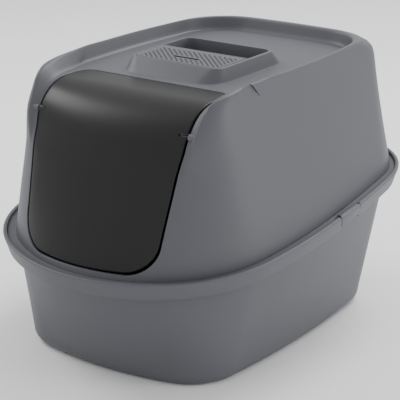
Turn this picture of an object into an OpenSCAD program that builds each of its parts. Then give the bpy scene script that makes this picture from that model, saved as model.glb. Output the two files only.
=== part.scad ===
// Hooded litter box with a swing door, a lift-off hood and a carbon filter under a raised vent.
// Millimetres. The front, with the door, faces -Y and the origin is on the floor under the middle.

/* [Tray] */
// Length of the tray rim, front to back
rim_length = 560; // [540:1:600]
// Width of the tray rim, side to side
rim_width = 418; // [410:1:450]
// Height of the rim at its front end
rim_front_height = 148; // [136:1:155]
// Height of the rim at its rear end
rim_rear_height = 205; // [191:1:214]
// Radius of the rim's front corners, seen from above
rim_front_radius = 166; // [140:1:170]
// Radius of the rim's rear corners, seen from above
rim_rear_radius = 120; // [110:1:140]
// How far the sides swell outward between the corners
side_swell = 8; // [4:1:10]
// How far the ends swell outward between the corners
end_swell = 10; // [4:1:12]
// Wall and floor thickness of the tray
tray_wall = 3.2; // [2.4:0.1:4]
// Height of the skirt that hangs from the rim
skirt_height = 22; // [20:1:26]
// How far the skirt leans in at its lower edge
skirt_lean = 6.5; // [5:0.5:7]
// Thickness of the skirt
skirt_wall = 2.6; // [2:0.1:3]
// Distance from the rim's outer edge to the top of the tray's wall
wall_inset = 20; // [20:1:24]
// How much narrower the tray is at each side near the floor
foot_side_inset = 46; // [42:1:52]
// How much shorter the tray is at the front near the floor
foot_front_inset = 60; // [56:1:68]
// How much shorter the tray is at the rear near the floor
foot_rear_inset = 54; // [50:1:66]
// Radius of the tray's upright corners near the floor
foot_corner_radius = 73; // [64:1:82]
// Radius of the rounded edge between wall and floor
floor_radius = 16; // [12:1:24]
// Width of the lip along the rim's outer edge
lip_width = 3; // [2.5:0.1:3.5]
// Depth of the channel behind the lip, in which the hood rests
channel_depth = 4; // [3:0.5:5]
// Height of the locating ridge that stands inside the hood
ridge_height = 2.5; // [1.5:0.5:3]
// Thickness of the locating ridge
ridge_wall = 2.4; // [2:0.1:3]

/* [Hood] */
// Distance from the rim's outer edge to the hood's outer face at its seat
hood_inset = 16; // [15:0.5:17]
// Wall thickness of the hood
hood_wall = 3; // [2.4:0.1:3.4]
// Height of the crest round the top of the hood
crest_height = 367; // [363:1:375]
// Half the width of the hood at the crest
crest_half_width = 146; // [143:1:149]
// Depth of the sunken top below the crest
top_recess = 19; // [16:1:21]
// Half the width of the sunken top
top_half_width = 136; // [134:1:138]
// Distance from the rim's rear edge forward to the rear edge of the sunken top
top_rear_setback = 71; // [68:1:76]
// Radius of the sunken top's rear corners
top_corner_radius = 67; // [55:1:75]
// Gap between the hood's seat and the channel's floor
seat_gap = 0.3; // [0.2:0.1:0.5]
// Gap between the hood's inner face and the locating ridge
ridge_gap = 2; // [1.6:0.1:2.4]
// Width of the notch in the outer edge of the right crest
notch_width = 20; // [14:1:24]
// Height of the notch's sloping face
notch_drop = 18; // [12:1:20]
// How far the notch runs back from top to bottom
notch_slant = 13; // [6:1:16]
// Distance from the door's trailing edge forward to the notch
notch_lead = 13; // [8:1:18]

/* [Door] */
// Half the width of the door at its pivots
door_half_width = 113; // [110:1:115]
// Half the width of the door near its lower edge
door_low_half_width = 102; // [98:1:104]
// Height of the door's lower edge
door_bottom = 155; // [155:1:161]
// Distance from the start of the bend back to the door's trailing top edge
door_top_run = 37; // [27:1:39]
// Radius of the door's lower corners
door_low_radius = 38; // [24:1:44]
// Radius of the door's top corners
door_top_radius = 18; // [10:1:24]
// Thickness of the door
door_wall = 2.8; // [2:0.1:3.2]
// Gap round the door
door_gap = 2.4; // [2.2:0.1:3]
// Radius of the bend between the front and the top
bend_radius = 65; // [60:1:68]
// Distance from the rim's front edge back to the start of the bend
bend_setback = 148; // [144:1:152]
// Outer diameter of the door's hinge barrels
barrel_d = 9; // [8:0.5:11]
// Length of each hinge barrel
barrel_len = 11; // [8:0.5:14]
// Diameter of the door's hinge pins
door_pin_d = 4; // [3:0.1:4.5]
// Width of the slit through which a barrel snaps on its pin
snap_slit = 1.6; // [1.2:0.1:2]

/* [Vent and filter] */
// Height of the raised vent ring above the sunken top
ring_height = 17.5; // [16:0.5:19]
// Half the width of the ring at its top
ring_half_width = 70; // [66:1:74]
// Distance from the rim's front edge back to the vent's middle line
vent_setback = 280; // [278:1:284]
// Distance from the vent's middle line forward to the ring's top front edge
ring_front = 60; // [57:1:64]
// Distance from the vent's middle line back to the ring's top rear edge
ring_rear = 71; // [66:1:76]
// How far the ring flares out at its sides
ring_side_flare = 7; // [5:1:9]
// How far the ring flares out at its front
ring_front_flare = 20; // [14:1:22]
// How far the ring flares out at its rear
ring_rear_flare = 24; // [16:1:28]
// Corner radius of the ring's top edge
ring_radius = 14; // [9:1:18]
// Width of the ring's top edge
ring_edge = 3.6; // [3.2:0.1:4.5]
// Distance from the vent's middle line back to the filter cover's hinge axis
cover_hinge_back = 8.5; // [7:0.5:10]
// Thickness of the perforated filter cover
cover_wall = 2; // [1.6:0.1:2.2]
// Gap round the filter cover
cover_gap = 0.6; // [0.4:0.1:0.8]
// Diameter of the filter cover's hinge barrel
cover_barrel_d = 4.6; // [4.4:0.1:5]
// Diameter of the filter cover's hinge pins
cover_pin_d = 2; // [1.6:0.1:2.2]
// Diameter of one vent hole
vent_hole_d = 3.4; // [2.6:0.1:4]
// Distance between neighbouring vent holes
vent_pitch = 8; // [7:0.5:10]
// Length of the finger slot in the filter cover
slot_length = 40; // [30:1:48]
// Width of the finger slot
slot_width = 6; // [5.5:0.1:8]
// Distance from the vent's middle line forward to the finger slot
slot_forward = 31; // [28:1:34]
// Depth of the filter chamber below the cover
chamber_depth = 11; // [10:0.5:13]
// Width of the shelf that carries the filter
shelf_width = 6; // [4:0.5:8]
// Thickness of the hood's shelf and of the grip pocket's walls
pocket_wall = 2.6; // [2:0.1:3]
// Depth of the grip pocket below the ring's top
pocket_depth = 40; // [32:1:46]
// Thickness of the filter grille
grille_wall = 2; // [1.6:0.1:3]
// Width of one opening of the filter grille
grille_cell = 12; // [8:1:16]
// Width of the grille's bars
grille_bar = 3; // [2:0.5:4]
// Thickness of the carbon filter pad
pad_height = 4.6; // [3:0.1:5]
// Gap round the filter pad and the grille
pad_gap = 0.8; // [0.5:0.1:1.5]

/* [Latches] */
// Distance from the middle back to the latches
latch_back = 40; // [30:1:50]
// Length of each latch along the rim
latch_length = 48; // [40:1:56]
// How far the latch's slanted ends run back from top to bottom
latch_slant = 9; // [0:1:12]
// Thickness of the latch
latch_wall = 2.6; // [2:0.1:3]
// Gap round each latch
latch_gap = 1.4; // [1.2:0.1:2]
// Gap at each latch's slanted front end
latch_front_gap = 2.4; // [2.2:0.1:3]
// How far the latch's lip reaches in over the channel
latch_reach = 10; // [7:0.5:11]
// Height of the latch's hinge axis above the skirt's lower edge
latch_axis_up = 3.6; // [3.2:0.1:4]
// Diameter of the latch's hinge pin
latch_pin_d = 2.4; // [2:0.1:2.6]
// Outer diameter of the latch's hinge barrel
latch_barrel_d = 5.2; // [4.8:0.1:5.6]
// Thickness of the lugs that hold the latch pins
lug_wall = 3.4; // [3:0.1:4]

/* [Fits] */
// Running clearance of a hinge pin, on the radius
pin_clearance = 0.1; // [0.05:0.01:0.1]
// Clearance of a pin pressed into its seat, on the radius
press_clearance = 0.01; // [0.01:0.01:0.02]

/* [Hidden] */
$fn = 48;
shell_gray = [0.37, 0.38, 0.4];
door_gray = [0.2, 0.2, 0.21];
side_steps = 3;
corner_steps = 6;

// The rim lies in a plane that climbs from front to rear
rim_a = rim_width / 2;
rim_b = rim_length / 2;
bend_start = rim_b - bend_setback;
door_trail = bend_start - door_top_run;
notch_forward = door_trail + notch_lead;
top_rear = rim_b - top_rear_setback;
vent_y = vent_setback - rim_b;
rim_slope = (rim_rear_height - rim_front_height) / rim_length;
rim_mid_height = (rim_rear_height + rim_front_height) / 2;
rim_angle = atan(rim_slope);
function rim_z(y) = rim_mid_height + rim_slope * y;
function mix(a, b, t) = a + (b - a) * t;

// A section is [half width, front reach, rear reach, front corner radius, rear corner radius,
// side swell in front, side swell behind, front swell, rear swell, height at y = 0, slope along y]
rim_section = [rim_a, rim_b, rim_b, rim_front_radius, rim_rear_radius,
    side_swell, side_swell, end_swell, end_swell, rim_mid_height, rim_slope];
function shifted(s, inset, up) = [for (i = [0 : 10])
    s[i] - (i < 5 ? inset : 0) + (i == 9 ? up : 0)];

// One quarter of a rounded rectangle with swollen sides, from y = 0 to x = 0
function quarter(a, b, r, ss, es) = let (
        xc = a - ss - r,
        yc = b - es - r,
        side_turn = atan(2 * ss / yc),
        end_turn = 90 - atan(2 * es / xc))
    concat(
        [for (i = [0 : side_steps - 1]) let (
                t = i / side_steps,
                turn = atan(2 * ss * t / yc))
            [xc + ss * (1 - t * t) + r * cos(turn), t * yc + r * sin(turn)]],
        [for (i = [0 : corner_steps - 1]) let (
                turn = mix(side_turn, end_turn, i / corner_steps))
            [xc + r * cos(turn), yc + r * sin(turn)]],
        [for (i = [0 : side_steps]) let (
                t = 1 - i / side_steps,
                turn = 90 - atan(2 * es * t / xc))
            [t * xc + r * cos(turn), yc + es * (1 - t * t) + r * sin(turn)]]);

function backward(list) = [for (i = [len(list) - 1 : -1 : 0]) list[i]];

// The closed outline of a section, anticlockwise from above
function outline(s) = let (
        rear = quarter(s[0], s[2], s[4], s[6], s[8]),
        front = quarter(s[0], s[1], s[3], s[5], s[7]),
        n = len(rear) - 1)
    concat(
        [for (i = [0 : n - 1]) rear[i]],
        [for (i = [n : -1 : 1]) [-rear[i][0], rear[i][1]]],
        [for (i = [0 : n - 1]) [-front[i][0], -front[i][1]]],
        [for (i = [n : -1 : 1]) [front[i][0], -front[i][1]]]);
function ring(s) = [for (p = outline(s)) [p[0], p[1], s[9] + s[10] * p[1]]];

// A closed solid through rings of points that have equal counts
module loft(rings) {
    n = len(rings[0]);
    last = (len(rings) - 1) * n;
    points = [for (r = rings) for (p = r) p];
    walls = [for (k = [0 : len(rings) - 2]) for (i = [0 : n - 1]) let (j = (i + 1) % n)
        each [[k * n + i, (k + 1) * n + i, (k + 1) * n + j], [k * n + i, (k + 1) * n + j, k * n + j]]];
    polyhedron(points, concat([[for (i = [0 : n - 1]) i]], walls, [[for (i = [n - 1 : -1 : 0]) last + i]]));
}

// Tray: up the outside, over the rim's lip and channel, and down the inside
foot_section = [rim_a - foot_side_inset, rim_b - foot_front_inset, rim_b - foot_rear_inset,
    foot_corner_radius, foot_corner_radius, side_swell, side_swell, end_swell, end_swell, 0, 0];
floor_turns = [0, 30, 60, 90];
rim_round = 2;
channel_inset = rim_round + lip_width + 1.5;
ridge_inset = hood_inset + hood_wall + ridge_gap;
module tray_shell() {
    inner_radius = floor_radius - tray_wall;
    skirt_in = skirt_lean + skirt_wall;
    deck_low = -channel_depth - tray_wall;
    loft(concat(
        [for (i = [3 : -1 : 0]) let (turn = floor_turns[i])
            ring(shifted(foot_section, floor_radius * (1 - cos(turn)), floor_radius * (1 - sin(turn))))],
        [ring(shifted(rim_section, wall_inset, -skirt_height)),
            ring(shifted(rim_section, wall_inset, deck_low)),
            ring(shifted(rim_section, skirt_wall - skirt_lean * deck_low / skirt_height, deck_low)),
            ring(shifted(rim_section, skirt_in, -skirt_height)),
            ring(shifted(rim_section, skirt_lean, -skirt_height)),
            ring(shifted(rim_section, 0, -rim_round)),
            ring(shifted(rim_section, rim_round * 0.3, -rim_round * 0.3)),
            ring(shifted(rim_section, rim_round, 0)),
            ring(shifted(rim_section, rim_round + lip_width, 0)),
            ring(shifted(rim_section, channel_inset, -channel_depth)),
            ring(shifted(rim_section, ridge_inset, -channel_depth)),
            ring(shifted(rim_section, ridge_inset, ridge_height - channel_depth)),
            ring(shifted(rim_section, ridge_inset + ridge_wall, ridge_height - channel_depth)),
            ring(shifted(rim_section, wall_inset + tray_wall, -skirt_height))],
        [for (i = [0 : 3]) let (turn = floor_turns[i])
            ring(shifted(foot_section, tray_wall + inner_radius * (1 - cos(turn)),
                tray_wall + inner_radius * (1 - sin(turn))))]));
}

// Places a right-hand latch piece on the rim: X outward, Y along the rim, Z square to it
side_reach = rim_a - side_swell * pow(latch_back / (rim_b - end_swell - rim_rear_radius), 2);
module at_latch(side) {
    mirror([side < 0 ? 1 : 0, 0, 0])
        translate([side_reach, latch_back, rim_z(latch_back)])
            rotate([rim_angle, 0, 0])
                children();
}
latch_axis_z = latch_axis_up - skirt_height;
latch_play = 0.7;
latch_back_x = -skirt_lean * (1 - latch_axis_up / skirt_height) - latch_wall;
latch_axis_x = latch_back_x - latch_play - latch_barrel_d / 2;
latch_half = latch_length / 2;
latch_top = -0.6;
latch_low = latch_axis_z - 0.4;
barrel_half = latch_half - latch_slant - 3;
lug_gap = 0.6;
lip_start = -latch_half + latch_slant / 2;

// The slanted outline of a latch in Y and Z, grown by gaps at its front and rear ends
function latch_run(z) = latch_slant * (latch_top - z) / (latch_top - latch_low);
function latch_outline(front, rear, top) = [
    [-latch_half + latch_run(top) - front, top],
    [latch_half + latch_run(top) / 2 + rear, top],
    [latch_half + latch_slant / 2 + rear, latch_low],
    [-latch_half + latch_slant - front, latch_low]];
// Carries an outline from depth x0 to x1 behind the skirt's leaning face
module leaning(x0, x1) {
    rotate([0, atan(skirt_lean / skirt_height), 0])
        translate([x0, 0, 0])
            rotate([90, 0, 90])
                linear_extrude(x1 - x0)
                    children();
}
// The latch's window is open at the skirt's lower edge, where the latch's low end swings down
window_depth = latch_wall + latch_gap + side_swell / 2;
window_top = 3;
window_low = -skirt_height - 3;
module latch_window() {
    o = latch_outline(latch_front_gap, latch_gap, window_top);
    leaning(-window_depth, 4)
        polygon([o[0], o[1], o[2], [o[2][0], window_low], [o[3][0], window_low], o[3]]);
    translate([-latch_reach - latch_gap, -latch_half - latch_gap, -latch_wall - 2.4])
        cube([latch_reach + latch_gap + 4, latch_length + 2 * latch_gap, 9]);
}
module latch_lugs() {
    root = -wall_inset - tray_wall / 2;
    for (end = [-1, 1])
        translate([0, end * (barrel_half + lug_gap + lug_wall / 2) - lug_wall / 2, latch_axis_z]) {
            translate([root, 0, -latch_barrel_d / 2])
                cube([latch_axis_x - root, lug_wall, latch_barrel_d]);
            translate([latch_axis_x, 0, 0])
                rotate([-90, 0, 0])
                    cylinder(d = latch_barrel_d, h = lug_wall);
        }
}
module latch_pin_bore(radius) {
    translate([latch_axis_x, -barrel_half - lug_gap - lug_wall, latch_axis_z])
        rotate([-90, 0, 0])
            cylinder(r = radius, h = 2 * (barrel_half + lug_gap + lug_wall));
}
module tray() {
    color(shell_gray)
        difference() {
            union() {
                difference() {
                    tray_shell();
                    for (side = [-1, 1])
                        at_latch(side)
                            latch_window();
                }
                for (side = [-1, 1])
                    at_latch(side)
                        latch_lugs();
            }
            for (side = [-1, 1])
                at_latch(side)
                    latch_pin_bore(latch_pin_d / 2 + press_clearance);
        }
}

// Latches, each on a pin along the skirt's lower edge
module latch() {
    color(shell_gray)
        difference() {
            union() {
                leaning(-latch_wall, 0)
                    polygon(latch_outline(0, 0, latch_top));
                translate([-latch_reach, lip_start, latch_top - latch_wall])
                    cube([latch_reach, latch_half - lip_start, latch_wall]);
                translate([latch_axis_x, -barrel_half, latch_axis_z])
                    rotate([-90, 0, 0])
                        cylinder(d = latch_barrel_d, h = 2 * barrel_half);
                translate([latch_axis_x, -barrel_half, latch_low + 0.8])
                    cube([latch_back_x + latch_wall / 2 - latch_axis_x, 2 * barrel_half, latch_barrel_d / 2]);
            }
            latch_pin_bore(latch_pin_d / 2 + pin_clearance);
        }
}
module latch_pin() {
    color("dimgray")
        latch_pin_bore(latch_pin_d / 2);
}
module latch_left() { at_latch(-1) latch(); }
module latch_right() { at_latch(1) latch(); }
module latch_pin_left() { at_latch(-1) latch_pin(); }
module latch_pin_right() { at_latch(1) latch_pin(); }

// Hood: a level is a height at the front of the seat, and the tilt fades out up to the sunken top
seat_a = rim_a - hood_inset;
seat_b = rim_b - hood_inset;
seat_height = rim_z(-seat_b) - channel_depth + seat_gap;
top_height = crest_height - top_recess;
function level_slope(h) = rim_slope * max(0, 1 - (h - seat_height) / (top_height - seat_height));
function level_a(h) = mix(seat_a, crest_half_width, (h - seat_height) / (crest_height - seat_height));
function hood_section(h, front, rear, rf, rr, ssf, ssr, swell) = let (slope = level_slope(h))
    [level_a(h), front, rear, rf, rr, ssf, ssr, swell, 2, h + slope * seat_b, slope];
// Rows: share of the way from seat to sunken top, how far the front and the rear have drawn in,
// front and rear corner radius, front swell
lower_rows = [
    [0, 0, 0, 152, 104, 10],
    [0.37, 28, 2, 110, 92, 8],
    [0.58, 43, 3, 86, 84, 8]];
upper_rows = [
    [0.8, 55, 4, 64, 74, 4],
    [0.965, 78, 5, 44, 66, 1],
    [1, 84, 6, 40, 66, 0]];
// Rows above the sunken top: share of the way up to the crest, and the same columns
crest_rows = [
    [0.6, 104, 24, 30, 70, 0],
    [1, 139, 45, 33, 77, 0]];
function body_sections(rows) = [for (row = rows)
    hood_section(mix(seat_height, top_height, row[0]), seat_b - row[1], seat_b - row[2],
        row[3], row[4], side_swell - 4 * row[0], side_swell + 3 * row[0], row[5])];
function crest_sections() = [for (row = crest_rows)
    hood_section(mix(top_height, crest_height, row[0]), seat_b - row[1], seat_b - row[2],
        row[3], row[4], side_swell - 4, side_swell + 3, row[5])];
module hood_block() {
    loft([for (s = concat(body_sections(lower_rows), body_sections(upper_rows), crest_sections()))
        ring(s)]);
}

// The body under the sunken top. It leaves the hood's front where the bend starts, and the bend
// is an arc about an axis along X, pushed forward in the middle of the door.
bend_axis_z = top_height - bend_radius;
bend_end = 78;
bend_turns = [78, 64, 50, 36, 22, 10, 0];
bend_swell = 14;
function bend_sections(inset) = [for (turn = bend_turns) let (
        h = bend_axis_z + (bend_radius - inset) * cos(turn),
        swell = bend_swell * turn / bend_end,
        s = hood_section(h, bend_start + (bend_radius - inset) * sin(turn) + swell,
            seat_b - 6 - inset, mix(30, 60, turn / bend_end), 66, 4, 11, swell))
    [s[0] - inset, s[1], s[2], s[3], s[4], s[5], s[6], s[7], s[8], s[9], s[10]]];
function sunken_sections(inset, rows) =
    concat([for (s = body_sections(rows)) shifted(s, inset, 0)], bend_sections(inset));
module sunken_block() {
    loft([for (s = sunken_sections(0, [lower_rows[2]])) ring(s)]);
}
// The hood's inside lies one wall inside that body, so the crest and the cheeks are solid
module hood_inside() {
    sections = sunken_sections(hood_wall, lower_rows);
    loft([for (i = [0 : len(sections) - 1]) ring(shifted(sections[i], 0, i == 0 ? -1 : 0))]);
}

// The room of the sunken top: flared sides, and a narrower run down each side of the door
recess_flare = 9;
cheek_half_width = 118;
cheek_back = door_trail - 25;
cheek_front = bend_start + 33;
function recess_outline(grow) = let (
        q = quarter(top_half_width + grow, top_rear + grow, top_corner_radius + grow, 4, 1),
        n = len(q) - 1)
    concat(
        [for (i = [0 : n]) q[i]],
        [for (i = [n - 1 : -1 : 0]) [-q[i][0], q[i][1]]],
        [[-top_half_width - grow, -cheek_back], [-cheek_half_width - grow, -cheek_front],
            [-cheek_half_width - 2 - grow * 1.3, -rim_b], [cheek_half_width + 2 + grow * 1.3, -rim_b],
            [cheek_half_width + grow, -cheek_front], [top_half_width + grow, -cheek_back]]);
module top_recess_room() {
    loft([
        [for (p = recess_outline(0)) [p[0], p[1], top_height - 30]],
        [for (p = recess_outline(0)) [p[0], p[1], top_height]],
        [for (p = recess_outline(recess_flare * 1.1)) [p[0], p[1], crest_height + 1.9]]]);
}
// In front of the bend the room follows the door down, widens forward and narrows to a point
cheek_rises = [-8, 7, 22, 37, 50, 59];
cheek_low = bend_axis_z + cheek_rises[0];
cheek_full = bend_axis_z + cheek_rises[2];
cheek_narrowing = 14;
function cheek_ring(h) = let (
        rise = h - bend_axis_z,
        back = bend_start + sqrt(max(0, bend_radius * bend_radius - rise * rise)),
        narrowing = cheek_narrowing * max(0, cheek_full - h) / (cheek_full - cheek_low),
        flare = recess_flare * max(0, h - top_height) / top_recess)
    [for (p = [[0, 12], [0, 0], [6, -20], [14, -60]])
        [cheek_half_width + p[0] - narrowing + flare, -back + p[1], h]];
module cheek_room() {
    levels = concat([for (rise = cheek_rises) bend_axis_z + rise], [top_height, crest_height + 3]);
    loft([for (h = levels) let (side = cheek_ring(h))
        concat(backward(side), [for (p = side) [-p[0], p[1], p[2]]])]);
}
module recess() {
    difference() {
        union() {
            top_recess_room();
            cheek_room();
        }
        sunken_block();
    }
}

// The notch slopes down and out through the crest's outer edge
module notch_wedge() {
    side = [[20, -notch_drop], [2.5, -notch_drop], [-5, 0], [-6.7, 4], [20, 4]];
    loft([for (end = [-notch_width / 2, notch_width / 2]) [for (p = side)
        [crest_half_width + p[0], end - notch_forward - notch_slant * p[1] / notch_drop, crest_height + p[1]]]]);
}

// The door's outline, grown by g: seen from the front below its pivots, and from above over them
door_turn = 58;
hinge_y = -bend_start - (bend_radius - door_wall - 0.6) * sin(door_turn);
hinge_z = bend_axis_z + (bend_radius - door_wall - 0.6) * cos(door_turn);
function arc(cx, cy, r, from, to, steps) = [for (i = [0 : steps]) let (turn = mix(from, to, i / steps))
    [cx + r * cos(turn), cy + r * sin(turn)]];
function both_sides(half) = concat(half, [for (p = backward(half)) [-p[0], p[1]]]);
function front_outline(g) = both_sides(concat(
    [[door_half_width + g, hinge_z + 8], [door_half_width + g, hinge_z]],
    backward(arc(door_low_half_width - door_low_radius, door_bottom + door_low_radius,
        door_low_radius + g, -90, 0, 6))));
function top_outline(g) = both_sides(concat(
    [[door_half_width + g, hinge_y - 30]],
    arc(door_half_width - door_top_radius - 1, -door_trail - door_top_radius,
        door_top_radius + 1 + g, 0, 90, 5)));
module door_prism(g) {
    translate([0, -bend_start + 10, 0])
        rotate([90, 0, 0])
            linear_extrude(rim_b)
                polygon(front_outline(g));
    translate([0, 0, hinge_z])
        linear_extrude(crest_height)
            polygon(top_outline(g));
}

// The front of a section, from one upright corner to the other
function front_path(r) = let (n = len(r) / 4)
    [for (i = [2 * n + side_steps : 4 * n - side_steps]) r[i]];
function band(outer, inner) = concat(outer, backward(inner));
module door_band() {
    outer = [for (s = sunken_sections(0, lower_rows)) front_path(ring(s))];
    inner = [for (s = sunken_sections(door_wall, lower_rows)) front_path(ring(s))];
    last = len(outer) - 1;
    trail = -door_trail + door_top_radius;
    loft(concat(
        [for (i = [0 : last]) band(outer[i], inner[i])],
        [band([for (p = outer[last]) [p[0], trail, p[2]]], [for (p = inner[last]) [p[0], trail, p[2]]])]));
}

// Door: a thin shell that follows the front and bends over the top
module door() {
    color(door_gray)
        difference() {
            union() {
                intersection() {
                    door_band();
                    door_prism(0);
                }
                for (side = [-1, 1])
                    at_hinge(side)
                        cylinder(d = barrel_d, h = barrel_len);
            }
            for (side = [-1, 1])
                at_hinge(side) {
                    translate([0, 0, -1])
                        cylinder(r = door_pin_d / 2 + pin_clearance, h = barrel_len + 2);
                    rotate([0, 0, door_turn])
                        translate([0, -snap_slit / 2, -1])
                            cube([barrel_d, snap_slit, barrel_len + 2]);
                }
        }
}
// Places a piece on the door's hinge axis: Z runs outward along the axis from the barrel's inner end
module at_hinge(side) {
    mirror([side < 0 ? 1 : 0, 0, 0])
        translate([door_half_width - barrel_len, hinge_y, hinge_z])
            rotate([90, 0, 90])
                rotate([0, 0, 90])
                    children();
}
boss_len = 9;
boss_wall = 3;
boss_proud = 0.8;
module door_pin() {
    color("dimgray")
        translate([0, 0, 1])
            cylinder(d = door_pin_d, h = barrel_len + door_gap + boss_len - 2);
}
module door_pin_left() { at_hinge(-1) door_pin(); }
module door_pin_right() { at_hinge(1) door_pin(); }

// Vent ring on the sunken top, with the filter chamber in front and the grip pocket behind
ring_top = top_height + ring_height;
chamber_half = ring_half_width - ring_edge;
chamber_front = ring_front - ring_edge;
pocket_rear = ring_rear - ring_edge;
divider_front = cover_hinge_back + cover_barrel_d / 2 + cover_gap;
pocket_front = divider_front + pocket_wall;
shelf_z = ring_top - chamber_depth - grille_wall;
module at_vent() {
    translate([0, vent_y, 0])
        children();
}
function box_ring(half, front, rear, r, z) = [for (p = concat(
        arc(half - r, rear - r, r, 0, 90, 4), arc(r - half, rear - r, r, 90, 180, 4),
        arc(r - half, r - front, r, 180, 270, 4), arc(half - r, r - front, r, 270, 360, 4)))
    [p[0], p[1], z]];
module vent_ring() {
    loft([
        box_ring(ring_half_width + ring_side_flare, ring_front + ring_front_flare,
            ring_rear + ring_rear_flare, ring_radius + ring_side_flare, top_height - 1),
        box_ring(ring_half_width, ring_front, ring_rear, ring_radius, ring_top)]);
}
module rounded_box(half, front, rear, r, low, high) {
    translate([0, 0, low])
        linear_extrude(high - low)
            polygon([for (p = box_ring(half, front, rear, r, 0)) [p[0], p[1]]]);
}
inner_radius = ring_radius - ring_edge;
module vent_rooms() {
    // Filter chamber down to its shelf, and the air hole inside the shelf
    intersection() {
        rounded_box(chamber_half, chamber_front, pocket_rear, inner_radius, shelf_z, ring_top + 1);
        translate([-rim_a, -rim_b, 0])
            cube([rim_width, rim_b + divider_front, crest_height * 2]);
    }
    rounded_box(chamber_half - shelf_width, chamber_front - shelf_width, divider_front - shelf_width,
        inner_radius / 2, top_height - chamber_depth * 2, ring_top);
    // Grip pocket
    intersection() {
        rounded_box(chamber_half, chamber_front, pocket_rear, inner_radius,
            ring_top - pocket_depth, ring_top + 1);
        translate([-rim_a, pocket_front, 0])
            cube([rim_width, rim_b, crest_height * 2]);
    }
}
module vent_walls() {
    // Walls that hang below the top: the shelf's frame and the pocket's shell
    rounded_box(chamber_half + pocket_wall, chamber_front + pocket_wall, pocket_rear + pocket_wall,
        ring_radius, shelf_z - pocket_wall, ring_top - 0.5);
    intersection() {
        rounded_box(chamber_half + pocket_wall, chamber_front + pocket_wall, pocket_rear + pocket_wall,
            ring_radius, ring_top - pocket_depth - pocket_wall, ring_top - 0.5);
        translate([-rim_a, divider_front, 0])
            cube([rim_width, rim_b, crest_height * 2]);
    }
}
// Places a piece on the filter cover's hinge axis: Z runs outward from the middle
module at_cover_hinge(side) {
    translate([0, cover_hinge_back, ring_top - cover_barrel_d / 2])
        rotate([0, side * 90, 0])
            children();
}
cover_half = chamber_half - cover_gap;
cover_seat = 2.8;
module cover_pin_seat(r, grow) {
    translate([0, 0, cover_half - 5])
        cylinder(r = r, h = 5 + cover_gap + cover_seat + grow);
}
module hood() {
    color(shell_gray)
        difference() {
            union() {
                difference() {
                    hood_block();
                    recess();
                    hood_inside();
                    door_prism(door_gap);
                }
                at_vent() {
                    vent_ring();
                    vent_walls();
                }
                for (side = [-1, 1])
                    at_hinge(side)
                        translate([0, 0, barrel_len + door_gap - boss_proud])
                            cylinder(d = door_pin_d + 2 * boss_wall, h = boss_len + boss_proud);
            }
            at_vent()
                vent_rooms();
            for (side = [-1, 1]) {
                at_hinge(side)
                    translate([0, 0, barrel_len])
                        cylinder(r = door_pin_d / 2 + press_clearance, h = door_gap + boss_len);
                at_vent()
                    at_cover_hinge(side)
                        cover_pin_seat(cover_pin_d / 2 + press_clearance, 0.1);
            }
            notch_wedge();
        }
}

// Filter cover: a perforated plate with a finger slot, hinged along its rear edge
vent_rows = floor((cover_hinge_back + chamber_front - 14) / (vent_pitch * 0.5));
vent_columns = floor((chamber_half - 6) / vent_pitch);
module vent_holes() {
    for (row = [0 : vent_rows], column = [-vent_columns : vent_columns]) {
        x = (column + (row % 2) * 0.5) * vent_pitch;
        y = -chamber_front + 6 + row * vent_pitch * 0.5;
        near_slot = abs(x) < slot_length / 2 + vent_hole_d
            && abs(y + slot_forward) < slot_width / 2 + vent_hole_d;
        if (abs(x) < chamber_half - 6 && !near_slot)
            translate([x, y, ring_top - cover_wall * 2])
                cylinder(d = vent_hole_d, h = cover_wall * 3, $fn = 24);
    }
}
module filter_cover() {
    color(shell_gray)
        at_vent()
            difference() {
                union() {
                    intersection() {
                        rounded_box(cover_half, chamber_front - cover_gap, pocket_rear,
                            inner_radius - cover_gap, ring_top - cover_wall, ring_top);
                        translate([-rim_a, -rim_b, 0])
                            cube([rim_width, rim_b + cover_hinge_back, crest_height * 2]);
                    }
                    for (side = [-1, 1])
                        at_cover_hinge(side)
                            cylinder(d = cover_barrel_d, h = cover_half);
                }
                vent_holes();
                translate([-slot_length / 2, -slot_forward - slot_width / 2, ring_top - cover_wall * 2])
                    cube([slot_length, slot_width, cover_wall * 3]);
                for (side = [-1, 1])
                    at_cover_hinge(side)
                        cover_pin_seat(cover_pin_d / 2 + pin_clearance, 0);
            }
}
module cover_pin() {
    color("dimgray")
        translate([0, 0, cover_half - 4.5])
            cylinder(d = cover_pin_d, h = 4.5 + cover_gap + cover_seat);
}
module cover_pin_left() { at_vent() at_cover_hinge(-1) cover_pin(); }
module cover_pin_right() { at_vent() at_cover_hinge(1) cover_pin(); }

// Filter grille on the shelf, and the carbon pad that lies on it
module filter_grille() {
    half = chamber_half - pad_gap;
    front = chamber_front - pad_gap;
    rear = divider_front - pad_gap;
    step = grille_cell + grille_bar;
    columns = floor((half - grille_bar - step / 2) / step);
    rows = floor((front + rear - 2 * grille_bar) / step);
    low = -(front - rear) / 2 - rows * step / 2;
    color(shell_gray)
        at_vent()
            difference() {
                rounded_box(half, front, rear, inner_radius - pad_gap, shelf_z, shelf_z + grille_wall);
                for (column = [-columns : columns], row = [0 : rows - 1])
                    translate([column * step - grille_cell / 2, low + row * step + grille_bar / 2,
                            shelf_z - 1])
                        cube([grille_cell, grille_cell, grille_wall + 2]);
            }
}
module filter_pad() {
    color([0.1, 0.1, 0.1])
        at_vent()
            rounded_box(chamber_half - pad_gap, chamber_front - pad_gap, divider_front - pad_gap,
                inner_radius - pad_gap, shelf_z + grille_wall, shelf_z + grille_wall + pad_height);
}

tray();
hood();
door();
door_pin_left();
door_pin_right();
filter_cover();
cover_pin_left();
cover_pin_right();
filter_pad();
filter_grille();
latch_left();
latch_right();
latch_pin_left();
latch_pin_right();
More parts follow.
